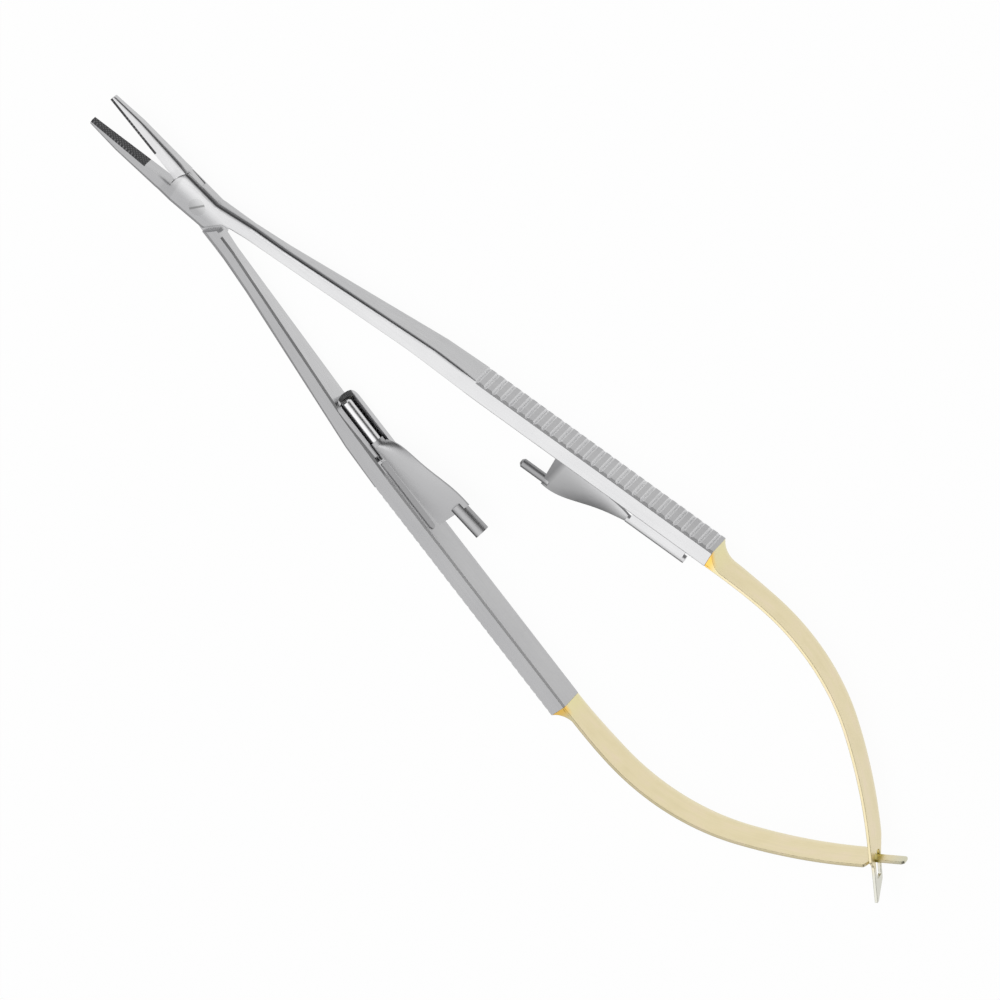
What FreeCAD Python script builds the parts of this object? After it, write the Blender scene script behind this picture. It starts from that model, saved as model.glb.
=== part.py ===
"""Micro needle holder with flat spring handles and a hook lock, lying open on a table.

Millimetres, +Z up, z = 0 on the table.  The origin is under the middle of the tool's outline.
Each arm is drawn as it stands with the jaws closed: joint pin at 0,0, jaw towards -X, handle
towards +X on the +Y side of the centre line, mid-plane at z = 0.  The through arm is then
mirrored, and each arm is turned by half of the opening.
"""
import FreeCAD, Part
import math
import os
from FreeCAD import Vector

os.makedirs("parts", exist_ok=True)

# Opening of the tool at rest
jaw_opening_deg = 13.6

# Jaws, measured from the joint pin
jaw_length = 17.0
jaw_tip_width = 0.72
jaw_tip_height = 0.78
jaw_tip_corner = 0.34
jaw_waist_x = 12.5
jaw_waist_width = 1.42
jaw_root_x = 6.0
jaw_root_width = 1.93
jaw_root_height = 1.9
jaw_tip_round = 0.22
jaw_root_round = 0.6
bite_gap = 0.06
insert_length = 8.7
insert_thickness = 0.35

# Box joint
box_waist_x = 1.9
box_waist_width = 2.12
box_front_width = 3.1
box_rear_width = 2.35
box_height = 2.4
box_radius = 4.3
box_round = 0.85
round_flats = 5
web_height = 0.8
web_half_width = 1.65
web_side_gap = 0.05
side_wall_overlap = 1.0
slot_side_gap = 0.04
shoulder_gap = 0.15
cheek_shoulder_reach = 2.78
shank_shoulder_reach = 3.46
shoulder_slant_deg = 55.5
pivot_pin_diameter = 2.2
pin_running_gap = 0.03

# Shanks and handles
crotch_gap = 0.36
shank_height = 1.8
shank_low_x = 7.0
shank_inner_deg = 6.45
shank_outer_deg = 7.4
shank_outer_width = 3.04
shank_start_x = 12.0
handle_deg = 3.2
handle_bend_x = 31.7
handle_full_height_x = 41.5
handle_end_x = 76.7
handle_thickness = 2.55
handle_height = 4.5
grip_bevel = 0.3
inner_bevel = 0.24

# Cross serrations of the grips
serration_start_x = 40.9
serration_pitch = 1.25
serration_width = 0.62
serration_depth = 0.24

# Hook lock: both stubs lie along the closed centre line
lock_x = 52.0
hook_overlap = 3.0
hook_radius = 1.0
hook_wall = 0.34
keeper_radius = 0.6
keeper_past_centre = 0.9
hook_side_gap = 0.1
stub_pass_gap = 0.2
stub_end_gap = 1.1

# Catch on the through arm
catch_axis_lift = 0.85
catch_axis_z = 0.5
catch_pin_radius = 0.7
catch_running_gap = 0.03
knuckle_wall = 0.25
knuckle_length = 2.3
flag_thickness = 0.34
pocket_front_x = 29.3
pocket_length = 8.9
pocket_rim = 0.62
pocket_low_z = -1.3
pocket_high_z = 1.75
pocket_far_lift = 1.8
pocket_near_lift = 0.45
pocket_floor_lift = 0.25
spring_strip_width = 1.1
spring_strip_thickness = 0.26
spring_strip_seat = 0.12
spring_strip_z = 1.0

# Keeper on the box arm
keeper_rod_radius = 0.53
keeper_rod_lift = 1.5
keeper_rod_z = 1.1
keeper_rod_length = 8.8
keeper_plate_length = 11.5
keeper_pad_width = 1.0

# Leaf springs
leaf_thickness = 0.42
leaf_height = 4.4
leaf_inset = 0.12
leaf_root_bend = 78.0
leaf_root_turn_deg = 6.7
leaf_middle_bend = 29.6
leaf_middle_turn_deg = 36.4
leaf_tail_bend = 72.0
leaf_tail_turn_deg = 12.3
leaf_root_length = 2.8
leaf_root_sink = 0.06
leaf_root_step = 0.2
tongue_height = 1.5
tongue_shoulder = 0.8
tongue_reach = 3.4
tail_slot_gap = 0.12
tail_slot_before = 1.0
tail_slot_after = 2.6
tail_rail = 0.4
tail_top_rail = 0.6
tail_point_reach = 5.6
tail_point_height = 0.4

# Values that follow from the sizes above
half_opening = jaw_opening_deg / 2
box_front_x = -(box_radius + 0.5)
box_rear_x = box_radius + 0.5
arm_half_height = handle_height / 2 + 1
slot_radius = box_radius + shoulder_gap
slot_height = web_height + 2 * slot_side_gap
handle_slope = math.tan(math.radians(handle_deg))
inner_bend_y = crotch_gap / 2 + math.tan(math.radians(shank_inner_deg)) * (handle_bend_x - slot_radius)
hook_past_centre = hook_radius + keeper_radius + hook_side_gap - keeper_past_centre
stub_z = (hook_radius + keeper_radius + stub_pass_gap) / 2
knuckle_radius = catch_pin_radius + catch_running_gap + knuckle_wall
hook_end_x = lock_x + hook_overlap / 2
keeper_tip_x = lock_x - hook_overlap / 2
flag_rear_x = keeper_tip_x - stub_end_gap
keeper_plate_x = hook_end_x + stub_end_gap / 2
leaf_bends = ((leaf_root_bend, leaf_root_turn_deg), (leaf_middle_bend, leaf_middle_turn_deg),
              (leaf_tail_bend, leaf_tail_turn_deg))

X_AXIS = Vector(1, 0, 0)
Z_AXIS = Vector(0, 0, 1)
ORIGIN = Vector(0, 0, 0)


def rounded_wire(corners):
    """Closed wire in the XY plane from (x, y, corner radius) values."""
    points = [Vector(x, y, 0) for x, y, _ in corners]
    edges = []
    arc_ends = []
    for i, corner in enumerate(points):
        radius = corners[i][2]
        to_last = (points[i - 1] - corner).normalize()
        to_next = (points[(i + 1) % len(points)] - corner).normalize()
        if radius <= 0:
            arc_ends.append((corner, corner, None))
            continue
        half_turn = to_last.getAngle(to_next) / 2
        run = radius / math.tan(half_turn)
        bisector = (to_last + to_next).normalize()
        middle = corner + bisector * (radius / math.sin(half_turn) - radius)
        arc_ends.append((corner + to_last * run, corner + to_next * run, middle))
    for i, (start, end, middle) in enumerate(arc_ends):
        if middle is not None:
            edges.append(Part.Arc(start, middle, end).toShape())
        next_start = arc_ends[(i + 1) % len(arc_ends)][0]
        if end.distanceToPoint(next_start) > 1e-6:
            edges.append(Part.LineSegment(end, next_start).toShape())
    return Part.Wire(Part.__sortEdges__(edges))


def prism(corners, low, high):
    """Plan outline carried up from z = low to z = high."""
    solid = Part.Face(rounded_wire(corners)).extrude(Vector(0, 0, high - low))
    return solid.translated(Vector(0, 0, low))


def side_prism(corners, low, high):
    """Side outline, given as (x, z, corner radius), carried along Y from low to high."""
    solid = prism(corners, -high, -low)
    solid.rotate(ORIGIN, X_AXIS, 90)
    return solid


def disc(radius, low, high):
    return Part.makeCylinder(radius, high - low, Vector(0, 0, low))


def mirrored(shape):
    """The same shape on the other side of the centre line."""
    return shape.mirror(ORIGIN, Vector(0, 1, 0))


def meet(x1, y1, deg1, x2, y2, deg2):
    """Crossing of two lines, each given by a point and a slope in degrees."""
    slope1 = math.tan(math.radians(deg1))
    slope2 = math.tan(math.radians(deg2))
    x = (y2 - y1 + slope1 * x1 - slope2 * x2) / (slope1 - slope2)
    return x, y1 + slope1 * (x - x1)


def inner_y(x):
    """Inner face of the shank and handle, as drawn closed."""
    if x < handle_bend_x:
        return inner_bend_y - math.tan(math.radians(shank_inner_deg)) * (handle_bend_x - x)
    return inner_bend_y + handle_slope * (x - handle_bend_x)


def outer_y(x):
    """Outer face of the handle, as drawn closed."""
    return inner_y(x) + handle_thickness / math.cos(math.radians(handle_deg))


def on_handle(shape):
    """Moves a shape drawn along +X on the line y = 0 to the handle's inner face."""
    shape.rotate(ORIGIN, Z_AXIS, handle_deg)
    shape.translate(Vector(handle_bend_x, inner_bend_y, 0))
    return shape


def along_handle(x):
    """Distance of the station x from the handle's bend, along its inner face."""
    return (x - handle_bend_x) / math.cos(math.radians(handle_deg))


def outer_line():
    """Corners of the arm's outer side from the box to the handle's end: (x, y)."""
    end_y = outer_y(handle_end_x)
    return [
        (box_front_x, box_front_width),
        (box_waist_x, box_waist_width),
        (shank_start_x, shank_outer_width),
        meet(shank_start_x, shank_outer_width, shank_outer_deg, handle_end_x, end_y, handle_deg),
        (handle_end_x, end_y),
    ]


def jaw_line():
    """Corners of the jaw's outer side from the tip to the box: (x, y)."""
    return [
        (-jaw_length, -jaw_tip_width),
        (-jaw_waist_x, -jaw_waist_width),
        (-jaw_root_x, -jaw_root_width),
        (box_rear_x, -box_rear_width),
    ]


def arm_plan():
    """Outline of one arm from above: (x, y, corner radius)."""
    outer_rounds = (0, 4.0, 60.0, 30.0, 0)
    jaw_rounds = (jaw_tip_corner, 40.0, 60.0, 0)
    inner_end_x = handle_end_x + handle_thickness * math.sin(math.radians(handle_deg))
    outer = [(x, y, radius) for (x, y), radius in zip(outer_line(), outer_rounds)]
    jaw = [(x, y, radius) for (x, y), radius in zip(jaw_line(), jaw_rounds)]
    bite = [(-jaw_length, -bite_gap / 2, 0), (box_front_x, -bite_gap / 2, 0)]
    inner = [(inner_end_x, inner_y(inner_end_x), 0), (handle_bend_x, inner_bend_y, 60.0),
             (box_rear_x, inner_y(box_rear_x), 0)]
    return bite + outer + inner + list(reversed(jaw))


def arm_side_upper():
    """Upper line of one arm from the side: (x, z, corner radius)."""
    return [
        (-jaw_length - 1.0, jaw_tip_height / 2, 0),
        (-box_radius - 1.0, jaw_root_height / 2, 4.0),
        (-box_radius + 0.9, box_height / 2, 2.0),
        (box_waist_x + 0.5, box_height / 2, 4.0),
        (shank_low_x, shank_height / 2, 8.0),
        (handle_full_height_x, handle_height / 2, 60.0),
        (handle_end_x + 2.0, handle_height / 2, 0),
    ]


def arm_side():
    """Outline of one arm from the side: (x, z, corner radius)."""
    upper = arm_side_upper()
    lower = [(x, -z, radius) for x, z, radius in reversed(upper)]
    return upper + lower


def rear_zone(low, high):
    """Space behind the pin and below the inner face, where the other arm stands."""
    far = box_radius + 3.0
    low_y = -box_rear_width - 2
    corners = [(0, low_y, 0), (far, low_y, 0), (far, inner_y(far), 0), (0, inner_y(0), 0)]
    return prism(corners, low, high)


def half_plane(reach, normal_deg, side):
    """Block that starts at a given distance from the pin, across a direction in the plan."""
    length = 12.0
    block = Part.makeBox(length, 2 * length, 2 * length, Vector(0, -length, -length))
    if side < 0:
        block.translate(Vector(-length, 0, 0))
    block.translate(Vector(reach, 0, 0))
    block.rotate(ORIGIN, Z_AXIS, normal_deg)
    return block


def rim_edges(solid, side, first_x, last_x):
    """Long edges between a side face that looks to +Y or -Y and the faces above and below it."""
    found = []
    for edge in solid.Edges:
        middle = edge.valueAt((edge.FirstParameter + edge.LastParameter) / 2)
        if not first_x < middle.x < last_x:
            continue
        flat = 0
        upright = 0
        for face in solid.ancestorsOfType(edge, Part.Face):
            normal = face.normalAt(*face.Surface.parameter(middle))
            if abs(normal.z) > 0.8:
                flat += 1
            if normal.y * side > 0.5:
                upright += 1
        if flat == 1 and upright == 1:
            found.append(edge)
    return found


def between(x, first_x, first_size, last_x, last_size):
    """Size at the station x that runs evenly from one size to another."""
    share = min(max((x - first_x) / (last_x - first_x), 0.0), 1.0)
    return first_size + share * (last_size - first_size)


def along(points, x):
    """Value at the station x on the straight runs between (x, value) points."""
    for (x1, value1), (x2, value2) in zip(points, points[1:]):
        if x <= x2:
            break
    return value1 + (value2 - value1) * (x - x1) / (x2 - x1)


def corner_section(x, y, z, side, radius):
    """What a round takes off the corner at y, z, as a closed wire in the plane of one station."""
    inner = y - side * radius
    low = z - radius
    points = [Vector(x, y + side * radius, low), Vector(x, y + side * radius, z + radius),
              Vector(x, inner, z + radius)]
    for i in range(round_flats + 1):
        angle = math.pi / 2 * i / round_flats
        points.append(Vector(x, inner + side * radius * math.sin(angle), low + radius * math.cos(angle)))
    return Part.makePolygon(points + points[:1])


def tapered_round(plan_line, side, first_x, last_x, radius_at):
    """What a round of changing radius takes off the two long edges of one side of the arm."""
    side_line = [(x, z) for x, z, _ in arm_side_upper()]
    stations = {first_x, last_x}
    stations.update(x for x, _ in plan_line + side_line if first_x < x < last_x)
    sections = [corner_section(x, along(plan_line, x), along(side_line, x), side, radius_at(x))
                for x in sorted(stations)]
    upper = Part.makeLoft(sections, True, True)
    return [upper, upper.mirror(ORIGIN, Z_AXIS)]


def outer_round(x):
    """Radius of the long outer edges from the box to the grip."""
    return between(x, box_waist_x, box_round, serration_start_x, grip_bevel)


def jaw_round(x):
    """Radius of the jaw's long outer edges from the tip to the box."""
    return between(x, -jaw_length, jaw_tip_round, -box_radius, jaw_root_round)


def arm_blank():
    """Forged arm with its edges worked, before its joint, lock and serrations are cut."""
    thick = arm_half_height
    plan = prism(arm_plan(), -thick, thick)
    blank = plan.common(side_prism(arm_side(), -handle_end_x, handle_end_x))
    blank = blank.makeChamfer(inner_bevel, rim_edges(blank, -1, box_rear_x, handle_end_x))
    grip_zone = Part.makeBox(handle_end_x, handle_end_x, 2 * thick, Vector(serration_start_x, 0, -thick))
    grip = blank.common(grip_zone)
    grip = grip.makeChamfer(grip_bevel, rim_edges(grip, 1, serration_start_x, handle_end_x))
    front = blank.cut(grip_zone)
    for cut in tapered_round(outer_line(), 1, box_front_x - 0.5, serration_start_x, outer_round):
        front = front.cut(cut)
    for cut in tapered_round(jaw_line(), -1, -jaw_length - 0.5, box_rear_x + 0.5, jaw_round):
        front = front.cut(cut)
    blank = front.fuse(grip)
    joint_disc = disc(box_radius, -thick, thick)
    corner = Part.makeBox(box_radius + 2, box_front_width + 2, 2 * thick,
                          Vector(-box_radius - 2, -bite_gap / 2, -thick))
    blank = blank.cut(corner.cut(joint_disc))
    return blank.cut(rear_zone(-thick, thick).cut(joint_disc))


def serrations():
    """Cross cuts in the outer face of the grip."""
    half = serration_width / 2
    step = serration_pitch * math.cos(math.radians(handle_deg))
    count = int((handle_end_x - half - serration_start_x) / step) + 1
    cuts = []
    for i in range(count):
        x = serration_start_x + i * step
        tooth = [(-half, 0.02, 0), (half, 0.02, 0), (0, -serration_depth, 0)]
        cut = prism(tooth, -handle_height, handle_height)
        cut.rotate(ORIGIN, Z_AXIS, handle_deg)
        cut.translate(Vector(x, outer_y(x), 0))
        cuts.append(cut)
    return Part.makeCompound(cuts)


def insert_seat():
    """Space of the insert in the gripping face of a jaw."""
    tall = jaw_root_height
    start = Vector(-jaw_length - 1, -bite_gap / 2 - insert_thickness, -tall)
    return Part.makeBox(insert_length + 1, insert_thickness + 1, 2 * tall, start)


def side_walls(turn_deg, gap):
    """Space of the box's two side walls beside the web, with the box turned by an angle."""
    far = box_radius + 3.0
    wall = Part.makeBox(far + side_wall_overlap + gap, far, 2 * box_height,
                        Vector(-side_wall_overlap - gap, web_half_width + web_side_gap - gap, -box_height))
    opposite = wall.copy()
    opposite.rotate(ORIGIN, Z_AXIS, 180)
    walls = Part.makeCompound([wall, opposite])
    walls.rotate(ORIGIN, Z_AXIS, turn_deg)
    return walls


def box_joint_slot():
    """Mortise through the box, in which the web turns between the side walls."""
    return disc(slot_radius, -slot_height / 2, slot_height / 2).cut(side_walls(0, 0))


def keeper_rod():
    """Round rod of the keeper along its seat."""
    start = along_handle(keeper_plate_x + keeper_plate_length)
    rod = Part.makeCylinder(keeper_rod_radius, keeper_rod_length,
                            Vector(start, -keeper_rod_lift, keeper_rod_z), X_AXIS)
    return on_handle(rod)


def keeper_pad():
    """Raised seat of the keeper's rod on the box arm."""
    start = along_handle(keeper_plate_x + keeper_plate_length) + 0.4
    length = keeper_rod_length - 0.8
    block = Part.makeBox(length, keeper_rod_lift + 0.3, keeper_pad_width,
                         Vector(start, -keeper_rod_lift, keeper_rod_z - keeper_pad_width / 2))
    return on_handle(block).cut(keeper_rod())


def make_box_arm(blank):
    """Lower jaw, box and upper handle in one piece."""
    arm = blank.cut(box_joint_slot())
    beyond = half_plane(cheek_shoulder_reach, shoulder_slant_deg - 90 - half_opening, 1)
    arm = arm.cut(beyond.common(rear_zone(-box_height, box_height)))
    arm = arm.cut(disc(pivot_pin_diameter / 2, -box_height, box_height))
    arm = arm.cut(serrations()).cut(insert_seat())
    return arm.fuse(keeper_pad()).removeSplitter()


def web_zone():
    """Plan area where the through arm is only as thick as its web."""
    tall = box_height
    size = 2 * slot_radius
    front = disc(slot_radius, -tall, tall).common(
        Part.makeBox(size, 2 * size, 2 * tall, Vector(-size, -size, -tall)))
    before = half_plane(shank_shoulder_reach, 90 - shoulder_slant_deg - half_opening, -1)
    rear = before.common(Part.makeBox(size, 2 * size, 2 * tall, Vector(0, -size, -tall)))
    return front.fuse([rear, rear_zone(-tall, tall)])


def pocket():
    """Raised rim round the catch's pin, high on the table side and low on the upper side."""
    start = along_handle(pocket_front_x)
    end = start + pocket_length
    round_front = (pocket_high_z - pocket_low_z) / 2 - 0.05
    outer = [(start, pocket_low_z, round_front), (end, pocket_low_z, 0.3),
             (end, pocket_high_z, 0.3), (start, pocket_high_z, round_front)]
    block = side_prism(outer, -pocket_far_lift, 1.0)
    slant = [(pocket_low_z - 1, -pocket_far_lift, 0), (pocket_low_z + pocket_rim, -pocket_far_lift, 0.6),
             (pocket_high_z - pocket_rim, -pocket_near_lift, 0.6), (pocket_high_z + 1, -pocket_near_lift, 0),
             (pocket_high_z + 1, 2, 0), (pocket_low_z - 1, 2, 0)]
    roof = Part.Face(rounded_wire(slant)).extrude(Vector(0, 0, pocket_length + 2))
    roof.rotate(ORIGIN, Vector(0, 1, 0), -90)
    roof.translate(Vector(end + 1, 0, 0))
    block = block.common(roof)
    hollow_low = catch_axis_z - knuckle_radius - 0.12
    hollow_high = catch_axis_z + knuckle_radius + 0.02
    hollow_round = (hollow_high - hollow_low) / 2 - 0.05
    hollow = [(start + pocket_rim, hollow_low, hollow_round), (end + 1, hollow_low, 0),
              (end + 1, hollow_high, 0), (start + pocket_rim, hollow_high, hollow_round)]
    return block.cut(side_prism(hollow, -4, -pocket_floor_lift))


def catch_bar(radius, first, last):
    """Round bar on the catch's axis between two distances along the handle."""
    return Part.makeCylinder(radius, last - first, Vector(first, -catch_axis_lift, catch_axis_z), X_AXIS)


def pin_span():
    """Ends of the catch's pin along the handle."""
    first = along_handle(pocket_front_x) + pocket_rim + 0.3
    return first, first + pocket_length - pocket_rim


def knuckle_span():
    """Ends of the catch's knuckle along the handle."""
    last = pin_span()[1] + 0.2
    return last - knuckle_length, last


def make_catch_pin():
    first, last = pin_span()
    pin = catch_bar(catch_pin_radius, first, last)
    ends = [edge for edge in pin.Edges if edge.Closed]
    return on_handle(pin.makeChamfer(0.2, ends))


def make_catch_spring():
    """Thin return leaf, let into the inner face of the through arm."""
    first = knuckle_span()[1] + 0.4
    last = along_handle(flag_rear_x)
    low = spring_strip_z - spring_strip_width / 2
    high = spring_strip_z + spring_strip_width / 2
    round_end = spring_strip_width / 2 - 0.01
    outline = [(first, low, 0.1), (last, low, round_end), (last, high, round_end), (first, high, 0.1)]
    strip = side_prism(outline, spring_strip_seat - spring_strip_thickness, spring_strip_seat)
    return on_handle(strip)


def make_through_arm(blank):
    """Upper jaw, web and lower handle in one piece, still drawn on the +Y side."""
    tall = box_height
    reach = 4 * box_radius
    web_layer = Part.makeBox(2 * reach, 2 * reach, web_height, Vector(-reach, -reach, -web_height / 2))
    arm = blank.cut(web_zone().cut(web_layer))
    for turn in (0, jaw_opening_deg):
        arm = arm.cut(mirrored(side_walls(turn, web_side_gap)))
    arm = arm.cut(disc(pivot_pin_diameter / 2 + pin_running_gap, -tall, tall))
    arm = arm.cut(serrations()).cut(insert_seat())
    arm = arm.fuse(on_handle(pocket()))
    first, last = knuckle_span()
    trough = on_handle(catch_bar(knuckle_radius + 0.1, first - 0.15, last + 0.3))
    arm = arm.cut(trough).cut(make_catch_pin()).cut(make_catch_spring())
    return arm.removeSplitter()


def strip_section(s, near, far, camber, thickness):
    """Curved strip in the plane x = s: near and far are (lift, z), camber bulges it upwards."""
    along = Vector(0, -(far[0] - near[0]), far[1] - near[1]).normalize()
    across = Vector(0, along.z, -along.y)
    if across.z < 0:
        across = across * -1
    half = across * (thickness / 2)
    start = Vector(s, -near[0], near[1])
    end = Vector(s, -far[0], far[1])
    middle = (start + end) * 0.5 + across * camber
    top = Part.Arc(start + half, middle + half, end + half).toShape()
    bottom = Part.Arc(end - half, middle - half, start - half).toShape()
    far_side = Part.LineSegment(end + half, end - half).toShape()
    near_side = Part.LineSegment(start - half, start + half).toShape()
    return Part.Wire([top, far_side, bottom, near_side])


def make_catch():
    """Knuckle on the pin, flared flag and rolled hook in one piece."""
    first, last = knuckle_span()
    knuckle = catch_bar(knuckle_radius, first, last)
    ring = catch_pin_radius + catch_running_gap + knuckle_wall / 2
    lift = catch_axis_lift
    z = catch_axis_z
    rear = along_handle(flag_rear_x)
    hook_lift = (inner_y(lock_x) + hook_past_centre) * math.cos(math.radians(handle_deg))
    far = hook_lift + hook_radius + 0.3
    length = rear - first
    sections = [
        strip_section(first + 0.6, (lift - 0.12, z + ring), (lift + ring + 0.4, z - 0.1), 0.3, flag_thickness),
        strip_section(first + 0.13 * length, (lift, z + 0.9), (0.49 * far, z + 0.15), 0.35, flag_thickness),
        strip_section(first + 0.34 * length, (lift + 0.1, z + 0.9), (0.64 * far, z + 0.4), 0.3, flag_thickness),
        strip_section(first + 0.57 * length, (lift + 0.2, z + 0.88), (0.78 * far, z + 0.55), 0.25, flag_thickness),
        strip_section(first + 0.8 * length, (lift + 0.35, z + 0.84), (0.93 * far, z + 0.65), 0.2, flag_thickness),
        strip_section(rear, (lift + 0.45, z + 0.8), (far, z + 0.75), 0.08, flag_thickness),
    ]
    flag = Part.makeLoft(sections, True, False)
    bore = catch_bar(catch_pin_radius + catch_running_gap, first - 1, last - 0.1)
    body = on_handle(knuckle.fuse(flag).cut(bore))
    return body.fuse(hook_stub()).removeSplitter()


def hook_stub():
    """Rolled hook of the catch, open towards the table and parallel to the keeper's stub when closed."""
    start = Vector(flag_rear_x - 0.5, -hook_past_centre, stub_z)
    length = hook_end_x - start.x
    roll = Part.makeCylinder(hook_radius, length, start, X_AXIS)
    hollow = Part.makeCylinder(hook_radius - hook_wall, length, start, X_AXIS)
    mouth = Part.makeBox(length, hook_radius * 1.1, hook_radius,
                         start + Vector(0, -hook_radius * 0.55, -hook_radius * 1.02))
    stub = roll.cut(hollow).cut(mouth)
    stub.rotate(Vector(lock_x, -hook_past_centre, 0), Z_AXIS, -handle_deg)
    return stub


def make_keeper():
    """Rod, bent flag and round stub of the fixed keeper in one piece."""
    rod = keeper_rod()
    front = along_handle(keeper_plate_x)
    rear = front + keeper_plate_length
    stub_lift = (inner_y(lock_x) + keeper_past_centre) * math.cos(math.radians(handle_deg))
    lift = keeper_rod_lift
    z = keeper_rod_z
    far = stub_lift + keeper_radius + 0.15
    length = keeper_plate_length
    sections = [
        strip_section(front, (0.3, 0.1), (far, -stub_z + 0.1), 0.1, flag_thickness),
        strip_section(front + 0.23 * length, (0.3, 0.35), (0.96 * far, -0.6), 0.2, flag_thickness),
        strip_section(front + 0.4 * length, (0.32, 0.65), (0.82 * far, -0.3), 0.25, flag_thickness),
        strip_section(front + 0.58 * length, (0.4, 0.95), (0.64 * far, 0.1), 0.2, flag_thickness),
        strip_section(front + 0.83 * length, (0.6, z), (lift + 1.1, 0.7), 0.1, flag_thickness),
        strip_section(rear + 0.6, (lift - 0.35, z + 0.15), (lift + 0.3, z - 0.1), 0.05, flag_thickness),
    ]
    flag = Part.makeLoft(sections, True, False)
    tip = Vector(along_handle(keeper_tip_x) + keeper_radius / 2, -stub_lift, -stub_z)
    stub = Part.makeCylinder(keeper_radius, front + 0.8 - tip.x, tip, X_AXIS)
    nose_length = keeper_radius / 2
    nose = Part.makeCone(keeper_radius / 2, keeper_radius, nose_length, tip - X_AXIS * nose_length, X_AXIS)
    stub = stub.fuse(nose)
    return rod.fuse([on_handle(flag), on_handle(stub)]).removeSplitter()


def make_insert(blank):
    return blank.common(insert_seat())


def make_pivot_pin():
    """Pin through both cheeks, ground flush with them."""
    return disc(pivot_pin_diameter / 2, -box_height / 2, box_height / 2)


def opened(shape, turn_deg):
    """Turns a closed arm's piece to its place with the jaws open."""
    copy = shape.copy()
    copy.rotate(ORIGIN, Z_AXIS, turn_deg)
    return copy


def leaf_seat():
    """Station at the handle's end where the leaf's centre line starts, with the jaws open."""
    x = handle_end_x + handle_thickness * math.sin(math.radians(handle_deg))
    seat = Part.Vertex(beside((x, inner_y(x), handle_deg), leaf_thickness / 2 + leaf_inset))
    seat.rotate(ORIGIN, Z_AXIS, half_opening)
    return seat.Point.x, seat.Point.y, handle_deg + half_opening


def leaf_path():
    """Centre line of the upper leaf: its stations as (x, y, heading in degrees)."""
    x, y, heading = leaf_seat()
    stations = [(x, y, heading)]
    for radius, turn in leaf_bends:
        start = math.radians(heading)
        end = math.radians(heading - turn)
        x += radius * (math.sin(start) - math.sin(end))
        y += radius * (math.cos(end) - math.cos(start))
        heading -= turn
        stations.append((x, y, heading))
    return stations


def beside(station, offset):
    """Point at a sideways offset from a station of the leaf."""
    x, y, heading = station
    angle = math.radians(heading)
    return Vector(x - offset * math.sin(angle), y + offset * math.cos(angle), 0)


def leaf_side(stations, offset):
    """Arcs of one face of the leaf."""
    arcs = []
    for i, (radius, turn) in enumerate(leaf_bends):
        start = stations[i]
        angle = math.radians(start[2])
        middle_angle = math.radians(start[2] - turn / 2)
        middle = (start[0] + radius * (math.sin(angle) - math.sin(middle_angle)),
                  start[1] + radius * (math.cos(middle_angle) - math.cos(angle)), start[2] - turn / 2)
        ends = (beside(start, offset), beside(middle, offset), beside(stations[i + 1], offset))
        arcs.append(Part.Arc(*ends).toShape())
    return arcs


def leaf_root():
    """Thick foot of the leaf against the handle's end, run out in a hollow curve, as a flat face."""
    top = Vector(0, handle_thickness - leaf_root_step - leaf_inset - leaf_thickness / 2, 0)
    bend = leaf_bends[0][0]
    drop = bend * (1 - math.cos(leaf_root_length / bend))
    run_out = Vector(leaf_root_length, leaf_thickness / 2 - leaf_root_sink - drop, 0)
    rise = top.y - run_out.y
    radius = (leaf_root_length ** 2 + rise ** 2) / (2 * rise)
    half_angle = math.asin(leaf_root_length / radius) / 2
    middle = run_out + Vector(-radius * math.sin(half_angle), radius * (1 - math.cos(half_angle)), 0)
    path = [run_out, Vector(leaf_root_length, -drop, 0), ORIGIN, top]
    edges = [Part.Arc(top, middle, run_out).toShape()]
    for point, following in zip(path, path[1:]):
        edges.append(Part.LineSegment(point, following).toShape())
    root = Part.Face(Part.Wire(edges))
    x, y, heading = leaf_seat()
    root.rotate(ORIGIN, Z_AXIS, heading)
    root.translate(Vector(x, y, 0))
    return root


def leaf_band():
    """Bent band of the upper leaf up to its straight tail."""
    stations = leaf_path()
    outer = leaf_side(stations, leaf_thickness / 2)
    inner = leaf_side(stations, -leaf_thickness / 2)
    first = stations[0]
    last = stations[-1]
    start_cap = Part.LineSegment(beside(first, -leaf_thickness / 2), beside(first, leaf_thickness / 2))
    end_cap = Part.LineSegment(beside(last, leaf_thickness / 2), beside(last, -leaf_thickness / 2))
    wire = Part.Wire(Part.__sortEdges__(outer + [end_cap.toShape()] + inner + [start_cap.toShape()]))
    plan = Part.Face(wire).fuse(leaf_root()).removeSplitter()
    band = plan.extrude(Vector(0, 0, leaf_height))
    return band.translated(Vector(0, 0, -leaf_height / 2))


def crossing_run():
    """Length of the straight tail up to the tool's centre line."""
    x, y, heading = leaf_path()[-1]
    return y / math.sin(math.radians(-heading))


def tail_plate(corners):
    """Flat tail from an outline (distance along the tail, z, corner radius)."""
    plate = side_prism(corners, -leaf_thickness / 2, leaf_thickness / 2)
    x, y, heading = leaf_path()[-1]
    plate.rotate(ORIGIN, Z_AXIS, heading)
    plate.translate(Vector(x, y, 0))
    return plate


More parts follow.
